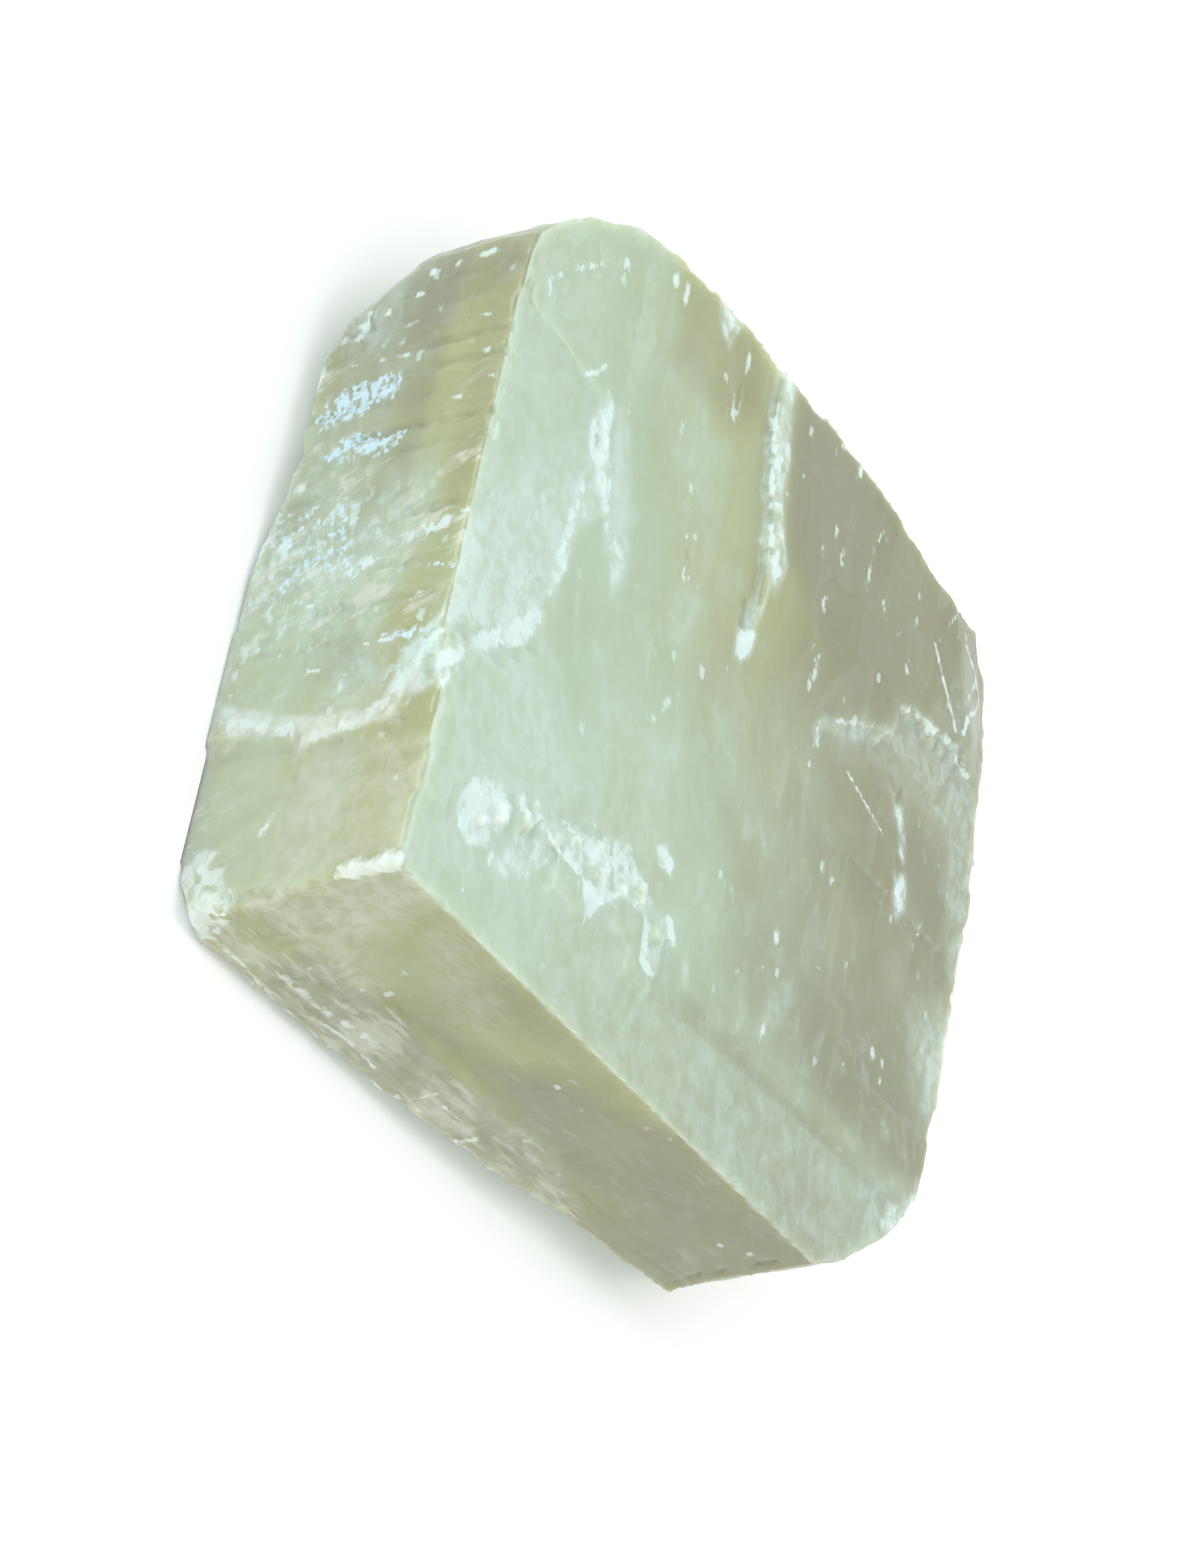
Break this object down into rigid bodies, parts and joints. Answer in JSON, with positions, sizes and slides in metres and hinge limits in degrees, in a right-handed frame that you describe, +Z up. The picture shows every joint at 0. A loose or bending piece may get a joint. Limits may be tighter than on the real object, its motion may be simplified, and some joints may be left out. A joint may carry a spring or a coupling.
{
  "type": "green calcite",
  "caption": "Slab of rough cloudy green calcite broken along its cleavage, with flat slanted faces, stepped ledges and a chipped rim. It lies flat on its broad base.",
  "frame": {"origin": "centre of the bounding box of the base, on the plane the stone rests on", "axes": "+Z up out of the broad top cleavage face, +Y along its left edge towards the back, +X across it to the right"},
  "size_m": [0.1028, 0.1062, 0.0265],
  "materials": {
    "calcite": "cloudy translucent pale green stone, vitreous on fresh cleavage and white where crushed"
  },
  "bodies": {
    "root": {"calcite_slab": "calcite"}
  },
  "joints": []
}
